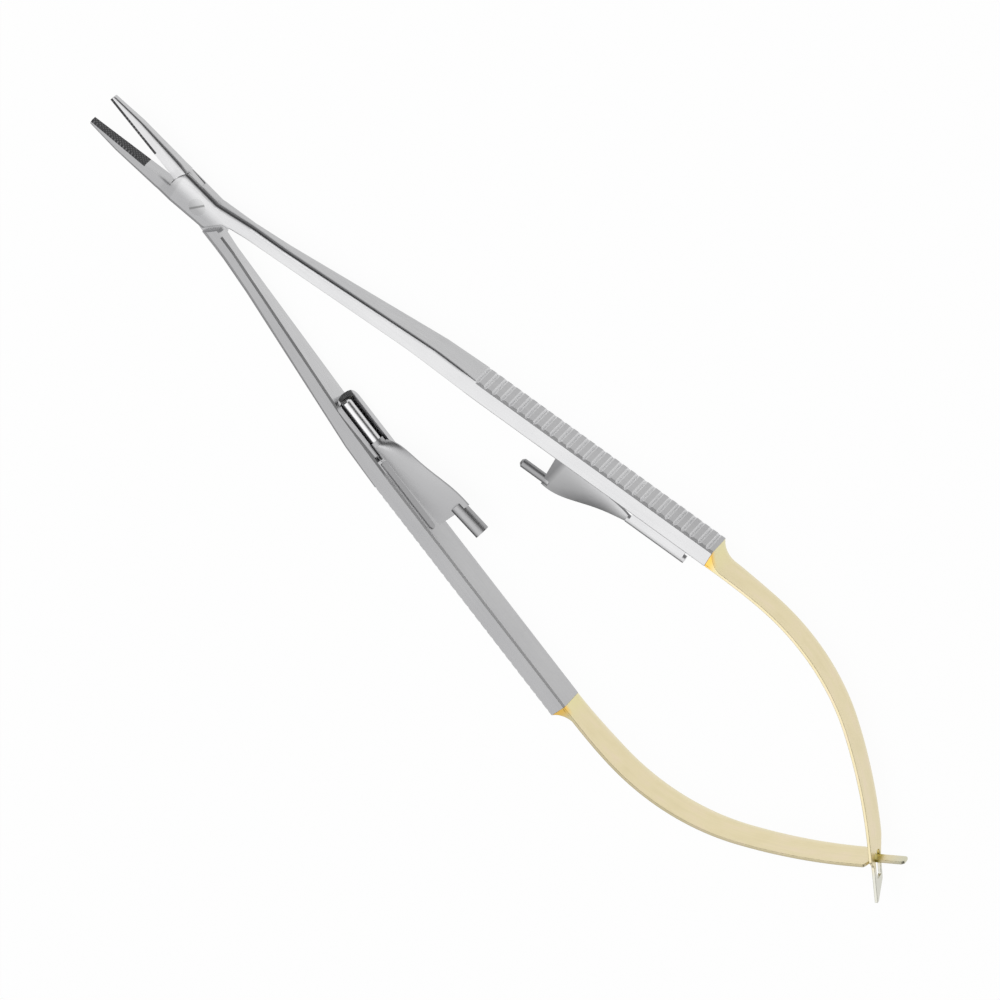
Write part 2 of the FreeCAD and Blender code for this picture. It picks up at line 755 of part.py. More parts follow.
def make_upper_leaf():
    """Leaf with the slotted and pointed tail."""
    cross = crossing_run()
    half = leaf_height / 2
    end = cross + tail_point_reach
    slot_half = tongue_height / 2 + tail_slot_gap
    low = -slot_half - tail_rail
    top = slot_half + tail_top_rail
    outline = [(0, -half, 0), (cross, low - 0.1, 3.0), (cross + tail_slot_after + 0.6, low + 0.1, 3.0),
               (end, top - tail_point_height, 0.15), (end, top, 0.15), (cross + 0.5, top, 0.4),
               (cross - 0.3, half, 0.4), (0, half, 0)]
    first = cross - tail_slot_before
    last = cross + tail_slot_after
    slot = [(first, -slot_half, 0.3), (last, -slot_half * 0.8, 0.3), (last, slot_half * 0.8, 0.3),
            (first, slot_half, 0.3)]
    tail = tail_plate(outline).cut(tail_plate(slot))
    return leaf_band().fuse(tail).removeSplitter()


def make_lower_leaf():
    """Leaf with the tongue, drawn on the upper side and then mirrored."""
    cross = crossing_run()
    half = leaf_height / 2
    tongue = tongue_height / 2
    neck = cross - tongue_shoulder
    end = cross + tongue_reach
    outline = [(0, -half, 0), (neck - 0.6, -half, 0.5), (neck, -tongue, 0.5), (end, -tongue, 0.4),
               (end, tongue, 0.4), (neck, tongue, 0.5), (neck - 0.6, half, 0.5), (0, half, 0)]
    return mirrored(leaf_band().fuse(tail_plate(outline)).removeSplitter())


def make_all():
    """Every piece in its place with the tool open, still centred on the joint pin."""
    blank = arm_blank()
    insert = make_insert(blank)
    return {
        "box_arm": opened(make_box_arm(blank), half_opening),
        "lower_jaw_insert": opened(insert, half_opening),
        "pivot_pin": make_pivot_pin(),
        "lock_keeper": opened(make_keeper(), half_opening),
        "upper_leaf_spring": make_upper_leaf(),
        "through_arm": opened(mirrored(make_through_arm(blank)), -half_opening),
        "upper_jaw_insert": opened(mirrored(insert), -half_opening),
        "catch_pin": opened(mirrored(make_catch_pin()), -half_opening),
        "catch_spring": opened(mirrored(make_catch_spring()), -half_opening),
        "lock_catch": opened(mirrored(make_catch()), -half_opening),
        "lower_leaf_spring": make_lower_leaf(),
    }


def joint_notes(shift):
    """Prints where the joints are, for the record that goes with the part."""
    print("pivot", round(shift.x, 4), round(shift.y, 4), round(shift.z, 4))
    for name, x in (("catch axis", 0), ("hook", along_handle(lock_x))):
        point = Part.Vertex(x, -catch_axis_lift, catch_axis_z)
        point = opened(mirrored(on_handle(point)), -half_opening)
        place = point.Point + shift
        print(name, round(place.x, 4), round(place.y, 4), round(place.z, 4))
    print("handle heading", handle_deg + half_opening, "crossing run", round(crossing_run(), 3))


def main():
    pieces = make_all()
    outline = Part.makeCompound([pieces[name] for name in ("box_arm", "through_arm", "upper_leaf_spring",
                                                            "lower_leaf_spring")]).BoundBox
    shift = Vector(-outline.Center.x, -outline.Center.y, handle_height / 2)
    for name, shape in pieces.items():
        shape.translated(shift).exportStep(f"parts/{name}.step")
        print(name, shape.ShapeType, len(shape.Solids), shape.isValid(), round(shape.Volume, 2))
    joint_notes(shift)


main()
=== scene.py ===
import math

import bpy
import numpy as np
from mathutils import Matrix, Vector


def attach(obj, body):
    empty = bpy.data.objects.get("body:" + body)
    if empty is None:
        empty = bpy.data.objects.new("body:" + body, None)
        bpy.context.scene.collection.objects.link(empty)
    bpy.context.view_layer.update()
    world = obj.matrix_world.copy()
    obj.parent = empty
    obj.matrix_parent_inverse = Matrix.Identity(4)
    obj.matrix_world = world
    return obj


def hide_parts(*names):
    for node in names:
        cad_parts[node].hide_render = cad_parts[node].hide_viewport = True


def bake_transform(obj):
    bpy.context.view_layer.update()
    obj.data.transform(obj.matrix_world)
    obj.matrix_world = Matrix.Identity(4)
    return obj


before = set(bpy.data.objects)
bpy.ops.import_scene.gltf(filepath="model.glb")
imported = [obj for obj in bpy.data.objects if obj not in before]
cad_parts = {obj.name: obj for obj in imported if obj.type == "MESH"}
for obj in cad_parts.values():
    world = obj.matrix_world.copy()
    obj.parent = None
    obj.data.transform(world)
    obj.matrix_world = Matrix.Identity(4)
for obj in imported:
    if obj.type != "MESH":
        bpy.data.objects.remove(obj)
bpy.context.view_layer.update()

MM = 0.001

# View of the tool as it was photographed
TILT = math.radians(35.0)
ROLL = math.radians(44.109)
PICTURE_WIDTH = 0.1235
CAMERA_DISTANCE = 1.6
PICTURE_MIDDLE = (0.000325, -0.000722, 0.00225)

# Places and headings of the tool's own pieces, in millimetres and degrees
JOINT_PIN = (-51.6797, 0.0)
MID_HEIGHT = 2.25
ARM_HEADING = 10.0
TIP_END = -68.5
BOX_FRONT = -57.0
BOX_BACK = -45.5
POCKET_START = -24.0
GRIP_START = -11.8

# Painted reflection on the steel's flats: the dim tone towards -Y and the bright tone towards +Y
DIM_REFLECTION_TONE = (0.37, 0.37, 0.375)
BRIGHT_REFLECTION_TONE = (0.62, 0.62, 0.625)

# Leaf springs: the seat of the upper leaf at the handle's end and its three bends
LEAF_SEAT = (23.8799, 15.1672)
LEAF_BENDS = ((78.0, 6.7), (29.6, 36.4), (72.0, 12.3))
LEAF_THICKNESS = 0.42
LEAF_HALF_HEIGHT = 2.2
LEAF_LEAN = 0.15
LEAN_RUN = 9.0
LEAF_EDGE = 0.09
CROSSING_RUN = 2.398
TAIL_RUN = sum(radius * math.radians(turn) for radius, turn in LEAF_BENDS)
RUN_TO_CROSSING = TAIL_RUN + CROSSING_RUN
FOOT_LENGTH = 2.8
FOOT_WIDTH = 2.015
FOOT_EDGE = 0.1


class Nodes:
    """Adds nodes to one material and joins them."""

    def __init__(self, material):
        material.use_nodes = True
        self.tree = material.node_tree
        self.tree.nodes.clear()
        self.out = self.add("ShaderNodeOutputMaterial")

    def add(self, kind, **values):
        node = self.tree.nodes.new(kind)
        for key, value in values.items():
            if key in node.inputs:
                node.inputs[key].default_value = value
            else:
                setattr(node, key, value)
        return node

    def join(self, source, target):
        self.tree.links.new(source, target)

    def place(self, turn_deg=0.0, stretch=(1.0, 1.0, 1.0), middle=(0.0, 0.0, 0.0)):
        """Object coordinates, moved to a middle point, turned about Z and stretched."""
        coords = self.add("ShaderNodeTexCoord")
        moved = self.add("ShaderNodeMapping", vector_type="TEXTURE")
        moved.inputs["Location"].default_value = middle
        moved.inputs["Rotation"].default_value = (0.0, 0.0, math.radians(turn_deg))
        spread = self.add("ShaderNodeMapping")
        spread.inputs["Scale"].default_value = stretch
        self.join(coords.outputs["Object"], moved.inputs["Vector"])
        self.join(moved.outputs["Vector"], spread.inputs["Vector"])
        return spread.outputs["Vector"]

    def leaf_place(self, stretch=(1.0, 1.0, 1.0)):
        """The leaf's own coordinates: millimetres along it and above its lower edge."""
        coords = self.add("ShaderNodeUVMap", uv_map="leaf run")
        spread = self.add("ShaderNodeMapping")
        spread.inputs["Scale"].default_value = stretch
        self.join(coords.outputs["UV"], spread.inputs["Vector"])
        return spread.outputs["Vector"]

    def noise(self, vector, scale, detail=4.0, rough=0.55):
        node = self.add("ShaderNodeTexNoise", Scale=scale, Detail=detail, Roughness=rough)
        self.join(vector, node.inputs["Vector"])
        return node.outputs["Fac"]

    def axes(self, vector):
        node = self.add("ShaderNodeSeparateXYZ")
        self.join(vector, node.inputs[0])
        return node.outputs

    def ramp(self, value, stops):
        node = self.add("ShaderNodeValToRGB")
        ramp = node.color_ramp
        while len(ramp.elements) < len(stops):
            ramp.elements.new(0.5)
        for element, (place, colour) in zip(ramp.elements, stops):
            element.position = place
            element.color = (*colour, 1.0) if len(colour) == 3 else colour
        self.join(value, node.inputs["Fac"])
        return node.outputs["Color"]

    def span(self, value, low, high, to_low=0.0, to_high=1.0, soft=False):
        node = self.add("ShaderNodeMapRange", interpolation_type="SMOOTHSTEP" if soft else "LINEAR")
        for key, number in (("From Min", low), ("From Max", high), ("To Min", to_low), ("To Max", to_high)):
            node.inputs[key].default_value = number
        self.join(value, node.inputs["Value"])
        return node.outputs["Result"]

    def math(self, operation, first, second=0.0):
        node = self.add("ShaderNodeMath", operation=operation)
        for socket, value in zip(node.inputs, (first, second)):
            if isinstance(value, bpy.types.NodeSocket):
                self.join(value, socket)
            else:
                socket.default_value = value
        return node.outputs[0]

    def blend(self, factor, first, second, kind="MIX"):
        node = self.add("ShaderNodeMix", data_type="RGBA", blend_type=kind)
        for socket, value in ((node.inputs[0], factor), (node.inputs[6], first), (node.inputs[7], second)):
            if isinstance(value, bpy.types.NodeSocket):
                self.join(value, socket)
            elif isinstance(value, tuple):
                socket.default_value = (*value, 1.0)
            else:
                socket.default_value = value
        return node.outputs[2]

    def metal(self, colour, roughness, height, strength, distance):
        """Metal surface with its colour, roughness and fine relief."""
        shader = self.add("ShaderNodeBsdfPrincipled")
        shader.inputs["Metallic"].default_value = 1.0
        self.join(colour, shader.inputs["Base Color"])
        self.join(roughness, shader.inputs["Roughness"])
        bump = self.add("ShaderNodeBump", Strength=strength, Distance=distance * MM)
        self.join(height, bump.inputs["Height"])
        self.join(bump.outputs["Normal"], shader.inputs["Normal"])
        self.join(shader.outputs["BSDF"], self.out.inputs["Surface"])

    def soft_edge(self, radius):
        """Normal eased over the edges, which tells how near a point lies to one and which way it turns."""
        node = self.add("ShaderNodeBevel", samples=8)
        self.join(radius, node.inputs["Radius"])
        return node.outputs["Normal"]


def brushed_steel(name, painted_side_tone, roughness, heading_deg, near_from, far_to, grain=0.1):
    """Satin steel of an arm: brush lines along it, faint clouds and pits, flats blended from a dim to a bright
    tone across the tool as a painted reflection, side faces in a lighter tone of their own as painted shading,
    and lighter serration flanks on the grip.  Its long edges carry painted dark reflections: those that face +Y
    between two stations, near_from, and those that face -Y between two others, far_to."""
    material = bpy.data.materials.new(name)
    n = Nodes(material)
    lines = n.noise(n.place(heading_deg, (70.0, 5200.0, 5200.0)), 1.0, 3.0, 0.6)
    clouds = n.noise(n.place(heading_deg, (110.0, 240.0, 240.0)), 1.0, 3.0)
    pits = n.noise(n.place(heading_deg), 6500.0, 2.0)
    # Painted reflection: the flats blend from a dim to a bright tone across the tool, from -Y to +Y.
    where = n.axes(n.place(0.0, (1000.0, 1000.0, 1000.0)))
    across = n.span(where["Y"], -0.6, 1.3, soft=True)
    flat_painted_reflection = n.blend(across, DIM_REFLECTION_TONE, BRIGHT_REFLECTION_TONE)
    # Painted shading: side faces take a lighter tone of their own and the flats take the painted reflection,
    # chosen by which way a face turns.
    facing = n.add("ShaderNodeNewGeometry")
    upward = n.math("ABSOLUTE", n.axes(facing.outputs["Normal"])["Z"])
    flat = n.span(upward, 0.75, 0.95, soft=True)
    tone = n.blend(flat, painted_side_tone, flat_painted_reflection)

    # The flanks of the serrations on the grip are made lighter, chosen by the way a face turns along the arm.
    heading = n.add("ShaderNodeVectorMath", operation="DOT_PRODUCT")
    n.join(facing.outputs["Normal"], heading.inputs[0])
    turn = math.radians(heading_deg)
    heading.inputs[1].default_value = (math.cos(turn), math.sin(turn), 0.0)
    flank = n.span(n.math("ABSOLUTE", heading.outputs["Value"]), 0.3, 0.5, 0.0, 0.8, True)
    on_grip = n.span(where["X"], GRIP_START - 0.5, GRIP_START, 0.0, 1.0)
    tone = n.blend(n.math("MULTIPLY", flank, on_grip), tone, (0.86, 0.86, 0.865))
    tone = n.blend(1.0, tone, n.ramp(lines, ((0.3, (1 - grain,) * 3), (0.7, (1.0,) * 3))), "MULTIPLY")
    tone = n.blend(1.0, tone, n.ramp(clouds, ((0.3, (0.94, 0.94, 0.945)), (0.7, (1.0, 1.0, 1.0)))), "MULTIPLY")
    tone = n.blend(1.0, tone, n.ramp(pits, ((0.26, (0.86,) * 3), (0.36, (1.0,) * 3))), "MULTIPLY")

    # Painted dark reflections along the long edges: the eased normal tells where an edge turns to +Y or -Y, and
    # the tone goes dark there between the given stations.
    squares = [n.math("POWER", n.math("SUBTRACT", where[axis], middle), 2.0)
               for axis, middle in zip("XY", JOINT_PIN)]
    off_joint = n.math("SQRT", n.math("ADD", *squares))
    slim = n.span(where["X"], TIP_END, TIP_END + 12.0, 0.3 * MM, 0.8 * MM)
    radius = n.math("MULTIPLY", slim, n.span(off_joint, 1.9, 2.3, 0.05, 1.0))
    turned = n.axes(n.soft_edge(radius))
    rising = n.span(turned["Z"], 0.8, 0.97, 1.0, 0.0, True)
    near = n.math("MULTIPLY", n.span(turned["Y"], 0.15, 0.4, soft=True),
                  n.span(turned["Z"], 0.15, 0.45, soft=True))
    far = n.span(n.math("MULTIPLY", turned["Y"], -1.0), 0.1, 0.4, soft=True)
    masks = []
    for mask, (first, last), depth in ((near, near_from, 0.8), (far, far_to, 0.6)):
        inside = n.math("MULTIPLY", n.span(where["X"], first - 1.0, first),
                        n.span(where["X"], last, last + 2.5, 1.0, 0.0))
        masks.append(n.math("MULTIPLY", n.math("MULTIPLY", mask, inside), depth))
    painted_dark_reflection = n.math("MULTIPLY", rising, n.math("ADD", *masks))
    tone = n.blend(painted_dark_reflection, tone, (0.13, 0.13, 0.135))

    satin = n.math("MULTIPLY", on_grip, n.span(upward, 0.75, 0.95, 0.26, 0.0))
    rough = n.math("ADD", n.span(lines, 0.2, 0.8, roughness - 0.04, roughness + 0.06), satin)
    n.metal(tone, rough, lines, 0.25, 0.012)
    return material


def pin_steel(name, heading_deg):
    """Steel of the riveted pin, dressed flush, with its old driving slot still faintly there."""
    material = bpy.data.materials.new(name)
    n = Nodes(material)
    middle = (JOINT_PIN[0] * MM, JOINT_PIN[1] * MM, 0.0)
    lines = n.noise(n.place(heading_deg, (70.0, 5200.0, 5200.0)), 1.0, 3.0, 0.6)
    across = n.axes(n.place(59.0, (1000.0, 1000.0, 1000.0), middle))
    off_slot = n.math("ABSOLUTE", across["Y"])
    slot = n.span(off_slot, 0.07, 0.18, 1.0, 0.0, soft=True)
    where = n.axes(n.place(0.0, (1000.0, 1000.0, 1000.0)))
    # Painted reflection: the pin's tone blends from dim to bright across the tool, as on the arms' flats.
    tone = n.blend(n.span(where["Y"], -0.6, 1.3, soft=True), DIM_REFLECTION_TONE, BRIGHT_REFLECTION_TONE)
    tone_lines = n.blend(1.0, tone, n.ramp(lines, ((0.3, (0.88,) * 3), (0.7, (1.0,) * 3))), "MULTIPLY")
    colour = n.blend(n.math("MULTIPLY", slot, 0.62), tone_lines, (0.12, 0.12, 0.12))
    relief = n.math("SUBTRACT", n.math("MULTIPLY", lines, 0.2), slot)
    rough = n.span(lines, 0.2, 0.8, 0.3, 0.4)
    n.metal(colour, rough, relief, 0.3, 0.04)
    return material


def polished_steel(name, tone, roughness, heading_deg, stub_tone=None, stub_end=0.0):
    """Bright steel of the lock: buffed, with a few hair scratches and a breath of cloud, with painted shade
    where a surface turns away to -Y, and with its own tone on the stub that ends at a station."""
    material = bpy.data.materials.new(name)
    n = Nodes(material)
    clouds = n.noise(n.place(heading_deg, (160.0, 300.0, 300.0)), 1.0, 4.0)
    hairs = n.noise(n.place(heading_deg + 14.0, (160.0, 7000.0, 7000.0)), 1.0, 2.0, 0.7)
    where = n.axes(n.place(0.0, (1000.0, 1000.0, 1000.0)))
    if stub_tone is not None:
        tone = n.blend(n.span(where["X"], stub_end - 0.4, stub_end + 0.4), stub_tone, tone)
    # Painted shade: the tone goes dark where the surface turns towards -Y and up.
    facing = n.add("ShaderNodeNewGeometry")
    away = n.add("ShaderNodeVectorMath", operation="DOT_PRODUCT")
    n.join(facing.outputs["Normal"], away.inputs[0])
    away.inputs[1].default_value = (0.0, -0.82, 0.57)
    tone = n.blend(n.span(away.outputs["Value"], 0.72, 0.95, 0.0, 0.85, True), tone, (0.1, 0.1, 0.105))
    cloud_tone = n.ramp(clouds, ((0.3, (0.92, 0.92, 0.925)), (0.7, (1.0, 1.0, 1.0))))
    colour = n.blend(1.0, tone, cloud_tone, "MULTIPLY")
    colour = n.blend(1.0, colour, n.ramp(hairs, ((0.24, (0.84,) * 3), (0.34, (1.0,) * 3))), "MULTIPLY")
    rough = n.span(clouds, 0.3, 0.7, roughness - 0.04, roughness + 0.05)
    n.metal(colour, rough, hairs, 0.2, 0.008)
    return material


def cross_cut_insert(name, heading_deg):
    """Dark hard metal of the jaw insert, with two crossing sets of fine cuts and bright worn points."""
    material = bpy.data.materials.new(name)
    n = Nodes(material)
    cuts = []
    for turn in (38.0, -38.0):
        coords = n.add("ShaderNodeTexCoord")
        upright = n.add("ShaderNodeMapping", vector_type="TEXTURE")
        upright.inputs["Rotation"].default_value = (0.0, math.radians(turn), math.radians(heading_deg))
        n.join(coords.outputs["Object"], upright.inputs["Vector"])
        wave = n.add("ShaderNodeTexWave", wave_profile="TRI", Scale=880.0, Distortion=0.6, Detail=1.0)
        n.join(upright.outputs["Vector"], wave.inputs["Vector"])
        cuts.append(wave.outputs["Fac"])
    points = n.math("MULTIPLY", cuts[0], cuts[1])
    grain = n.noise(n.place(heading_deg), 7000.0, 3.0)
    level = n.math("ADD", n.math("MULTIPLY", points, 0.6), n.math("MULTIPLY", grain, 0.5))
    colour = n.ramp(level, ((0.2, (0.035, 0.035, 0.037)), (0.5, (0.09, 0.09, 0.092)),
                            (0.85, (0.24, 0.24, 0.245))))
    rough = n.span(grain, 0.2, 0.8, 0.38, 0.5)
    n.metal(colour, rough, level, 0.7, 0.035)
    return material


def gold_plating(name, bare_from, bare_to, bare_tone, top_share):
    """Pale gold plate: brushed along the leaf, warmer at the foot, worn thin towards the end of the tail."""
    material = bpy.data.materials.new(name)
    n = Nodes(material)
    lines = n.noise(n.leaf_place((0.08, 6.0, 1.0)), 1.0, 3.0, 0.6)
    clouds = n.noise(n.leaf_place((0.25, 0.5, 1.0)), 1.0, 3.0)
    run = n.axes(n.leaf_place())
    gold = n.ramp(clouds, ((0.3, (0.80, 0.70, 0.45)), (0.5, (0.83, 0.73, 0.48)), (0.7, (0.85, 0.73, 0.52))))
    foot = n.span(run["X"], 0.0, 3.0, 0.55, 0.0, soft=True)
    gold = n.blend(foot, gold, (0.83, 0.78, 0.40))
    warm = n.math("MULTIPLY", n.span(run["X"], 0.2, 1.7, 0.9, 0.0, soft=True),
                  n.span(run["Y"], 3.3, 4.3, 0.0, 1.0, soft=True))
    gold = n.blend(warm, gold, (1.0, 0.62, 0.12))
    low_edge = n.span(run["Y"], 0.0, 0.9, 0.35, 0.0, soft=True)
    gold = n.blend(low_edge, gold, (0.93, 0.90, 0.74))
    bare = n.span(run["X"], bare_from, bare_to, 0.0, 0.85, soft=True)
    gold = n.blend(bare, gold, bare_tone)
    # Darker gold around the middle of the leaf, where the two leaves cross.
    off_crossing = n.math("ABSOLUTE", n.math("SUBTRACT", run["X"], RUN_TO_CROSSING + 0.2))
    off_middle = n.math("ABSOLUTE", n.math("SUBTRACT", run["Y"], LEAF_HALF_HEIGHT))
    darker_at_crossing = n.math("MULTIPLY", n.span(off_crossing, 0.35, 1.0, 0.85, 0.0, soft=True),
                    n.span(off_middle, 0.8, 1.4, 1.0, 0.0, soft=True))
    gold = n.blend(darker_at_crossing, gold, (0.52, 0.44, 0.10))
    facing = n.add("ShaderNodeNewGeometry")
    upward = n.axes(facing.outputs["Normal"])["Z"]
    gold = n.blend(n.span(upward, 0.6, 0.9, soft=True), gold, n.blend(1.0, gold, (top_share,) * 3, "MULTIPLY"))
    colour = n.blend(1.0, gold, n.ramp(lines, ((0.3, (0.93, 0.93, 0.92)), (0.7, (1.0, 1.0, 1.0)))), "MULTIPLY")
    rough = n.span(lines, 0.2, 0.8, 0.3, 0.42)
    n.metal(colour, rough, lines, 0.2, 0.01)
    return material


def dress(node, material):
    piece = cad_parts[node]
    piece.data.materials.clear()
    piece.data.materials.append(material)


def leaf_line(run):
    """Centre line of the upper leaf in plan: the heading falls evenly along each bend and stays in the
    straight tail, and the place is the running sum of the heading's cosine and sine."""
    knots = np.cumsum([0.0] + [radius * math.radians(turn) for radius, turn in LEAF_BENDS])
    headings = ARM_HEADING - np.cumsum([0.0] + [turn for _, turn in LEAF_BENDS])
    fine = np.linspace(0.0, run.max(), 4000)
    angle = np.radians(np.interp(fine, knots, headings))
    step = fine[1] - fine[0]
    x = np.concatenate([[0.0], np.cumsum((np.cos(angle[1:]) + np.cos(angle[:-1])) * step / 2)])
    y = np.concatenate([[0.0], np.cumsum((np.sin(angle[1:]) + np.sin(angle[:-1])) * step / 2)])
    return (LEAF_SEAT[0] + np.interp(run, fine, x), LEAF_SEAT[1] + np.interp(run, fine, y),
            np.interp(run, fine, angle))


def leaf_piece(name, points, faces, run, height):
    """Smooth piece of a leaf from points in millimetres; its map "leaf run" keeps how far along the leaf
    each point stands and how far above the leaf's lower edge."""
    mesh = bpy.data.meshes.new(name)
    mesh.from_pydata((points * MM).tolist(), [], faces)
    layer = mesh.uv_layers.new(name="leaf run")
    corner = np.empty(len(mesh.loops), np.int32)
    mesh.loops.foreach_get("vertex_index", corner)
    values = np.stack([run[corner], height[corner] + LEAF_HALF_HEIGHT], axis=-1)
    layer.data.foreach_set("uv", values.astype(np.float32).reshape(-1))
    mesh.polygons.foreach_set("use_smooth", np.ones(len(mesh.polygons), bool))
    piece = bpy.data.objects.new(name, mesh)
    bpy.context.scene.collection.objects.link(piece)
    return piece


def leaf_sheet(name, run, rows, side, opening=None):
    """Middle sheet of a leaf: column i stands at run[i] on the centre line, row j at height rows[j][i],
    and each point leans outwards in proportion to its height; quads between opening[0] and opening[1]
    in the middle row are left out.  The sheet then gets its thickness and buffed edges."""
    x, y, angle = leaf_line(run)
    share = np.clip(run / LEAN_RUN, 0.0, 1.0)
    lean = LEAF_LEAN * share ** 2 * (3 - 2 * share)
    shift = lean * rows / LEAF_HALF_HEIGHT
    points = np.stack([x - shift * np.sin(angle), side * (y + shift * np.cos(angle)), MID_HEIGHT + rows],
                      axis=-1)
    tall, wide = rows.shape
    index = np.arange(tall * wide).reshape(tall, wide)
    quads = np.stack([index[:-1, :-1], index[:-1, 1:], index[1:, 1:], index[1:, :-1]], axis=-1)
    keep = np.ones(quads.shape[:2], bool)
    if opening is not None:
        inside = (run[:-1] >= opening[0] - 1e-6) & (run[1:] <= opening[1] + 1e-6)
        keep[tall // 2 - 1, inside] = False
    quads = quads[keep]
    if side > 0:
        quads = quads[:, ::-1]
    leaf = leaf_piece(name, points.reshape(-1, 3), quads.tolist(),
                      np.broadcast_to(run, rows.shape).reshape(-1), rows.reshape(-1))
    wall = leaf.modifiers.new("wall", "SOLIDIFY")
    wall.thickness = LEAF_THICKNESS * MM
    wall.offset = 0.0
    buffed_edges(leaf)
    return leaf


def buffed_edges(piece):
    edge = piece.modifiers.new("buffed edges", "BEVEL")
    edge.width = LEAF_EDGE * MM
    edge.segments = 2
    edge.limit_method = "ANGLE"
    edge.angle_limit = math.radians(35.0)
    edge.harden_normals = True


def softened(run, knots, values):
    """Outline through the given knots with its corners eased over about a quarter of a millimetre."""
    shifts = np.linspace(-0.16, 0.16, 5)
    return np.mean([np.interp(run + shift, knots, values) for shift in shifts], axis=0)


def slotted_leaf(name):
    """Upper leaf: full height to the tail, then a slot between two rails and one long slanted point."""
    tail = TAIL_RUN
    cross = RUN_TO_CROSSING
    end = cross + 5.5
    run = np.unique(np.concatenate([np.linspace(0.0, tail, 96), np.arange(tail, end, 0.1), [end]]))
    low = softened(run, [tail, cross, cross + 3.2, end], [-2.2, -1.37, -1.17, 1.02])
    high = softened(run, [cross - 0.3, cross + 0.5, end], [2.2, 1.47, 1.47])
    first = run[np.argmin(abs(run - (cross - 1.0)))]
    last = run[np.argmin(abs(run - (cross + 2.6)))]
    half = np.interp(run, [first, last], [0.87, 0.7])
    round_in = np.clip(np.minimum(run - first, last - run) / 0.3, 0.0, 1.0)
    half = half * (0.55 + 0.45 * np.sqrt(1 - (1 - round_in) ** 2))
    slot_low = np.where(run <= last, -half, low + (high - low) * 0.3)
    slot_high = np.where(run <= last, half, low + (high - low) * 0.7)
    rows = np.stack([low, slot_low, slot_high, high])
    return leaf_sheet(name, run, rows, 1, (first, last))


def tongued_leaf(name):
    """Lower leaf: full height to its shoulders, then a narrow tongue with eased corners at its end."""
    tail = TAIL_RUN
    cross = RUN_TO_CROSSING
    neck = cross - 0.3
    end = cross + 4.0
    run = np.unique(np.concatenate([np.linspace(0.0, tail, 96), np.arange(tail, end, 0.1), [end]]))
    low = -softened(run, [neck - 0.5, neck, end - 0.15, end], [2.2, 0.75, 0.75, 0.55])
    high = softened(run, [neck - 0.5, neck, end - 0.3, end], [2.2, 0.75, 0.75, 0.35])
    rows = np.stack([low, low + (high - low) / 3, low + (high - low) * 2 / 3, high])
    return leaf_sheet(name, run, rows, -1)


def leaf_foot(name, side):
    """Foot of a leaf on the handle's end: a plan outline with one hollow arc, carried straight up.
    The arc runs from the leaf's outer face up the handle's end, its centre outside the leaf."""
    rise = FOOT_WIDTH - FOOT_EDGE
    radius = (FOOT_LENGTH ** 2 + rise ** 2) / (2 * rise)
    turn = np.linspace(0.0, math.asin(FOOT_LENGTH / radius), 16)
    arc = np.stack([FOOT_LENGTH - radius * np.sin(turn), FOOT_EDGE + radius * (1 - np.cos(turn))], axis=-1)
    plan = np.concatenate([arc, [[0.0, 0.0], [FOOT_LENGTH * 0.5, -0.01], [FOOT_LENGTH, -0.04]]])
    heading = math.radians(ARM_HEADING)
    x = LEAF_SEAT[0] + plan[:, 0] * math.cos(heading) - plan[:, 1] * math.sin(heading)
    y = LEAF_SEAT[1] + plan[:, 0] * math.sin(heading) + plan[:, 1] * math.cos(heading)
    levels = np.array([-LEAF_HALF_HEIGHT, LEAF_HALF_HEIGHT])
    count = len(plan)
    points = np.stack([np.tile(x, 2), side * np.tile(y, 2), MID_HEIGHT + np.repeat(levels, count)], axis=-1)
    ring = np.arange(count)
    after = (ring + 1) % count
    walls = np.stack([ring, after, after + count, ring + count], axis=-1)
    faces = [ring[::-1].tolist(), (ring + count).tolist()] + walls.tolist()
    if side < 0:
        faces = [face[::-1] for face in faces]
    foot = leaf_piece(name, points, faces, np.tile(plan[:, 0], 2), np.repeat(levels, count))
    buffed_edges(foot)
    return foot


def fit_leaf_springs():
    """Both leaves meet halfway between the handles where they cross; each foot is fixed to its handle's body.
    """
    upper_gold = gold_plating("gold plate of the slotted leaf", 45.5, 48.0, (0.70, 0.71, 0.66), 0.95)
    lower_gold = gold_plating("gold plate of the tongued leaf", 46.5, 50.0, (0.66, 0.66, 0.52), 0.62)
    for side, leaf, gold, node, body, other in (
            (1, slotted_leaf("slotted_leaf"), upper_gold, "upper_leaf_spring",
             "box_arm_body", "through_arm_body"),
            (-1, tongued_leaf("tongued_leaf"), lower_gold, "lower_leaf_spring",
             "through_arm_body", "box_arm_body")):
        leaf.data.materials.append(gold)
        foot = leaf_foot(leaf.name.split("_")[0] + "_leaf_foot", side)
        foot.data.materials.append(gold)
        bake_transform(leaf)
        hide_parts(node)
        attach(foot, body)


def camera():
    """Long lens above the tool on its keeper side, rolled so that the tool lies along the diagonal."""
    data = bpy.data.cameras.new("camera")
    data.sensor_width = 36.0
    data.lens = 36.0 * CAMERA_DISTANCE / PICTURE_WIDTH
    data.clip_start = 0.05
    data.clip_end = 20.0
    eye = bpy.data.objects.new("camera", data)
    bpy.context.scene.collection.objects.link(eye)
    along = np.array([1.0, 0.0, 0.0])
    across = np.array([0.0, -math.cos(TILT), math.sin(TILT)])
    back = np.array([0.0, math.sin(TILT), math.cos(TILT)])
    right = along * math.cos(ROLL) - across * math.sin(ROLL)
    down = along * math.sin(ROLL) + across * math.cos(ROLL)
    matrix = np.eye(4)
    matrix[:3, 0] = right
    matrix[:3, 1] = -down
    matrix[:3, 2] = back
    matrix[:3, 3] = np.array(PICTURE_MIDDLE) + back * CAMERA_DISTANCE
    eye.matrix_world = Matrix(matrix.tolist())
    bpy.context.scene.camera = eye


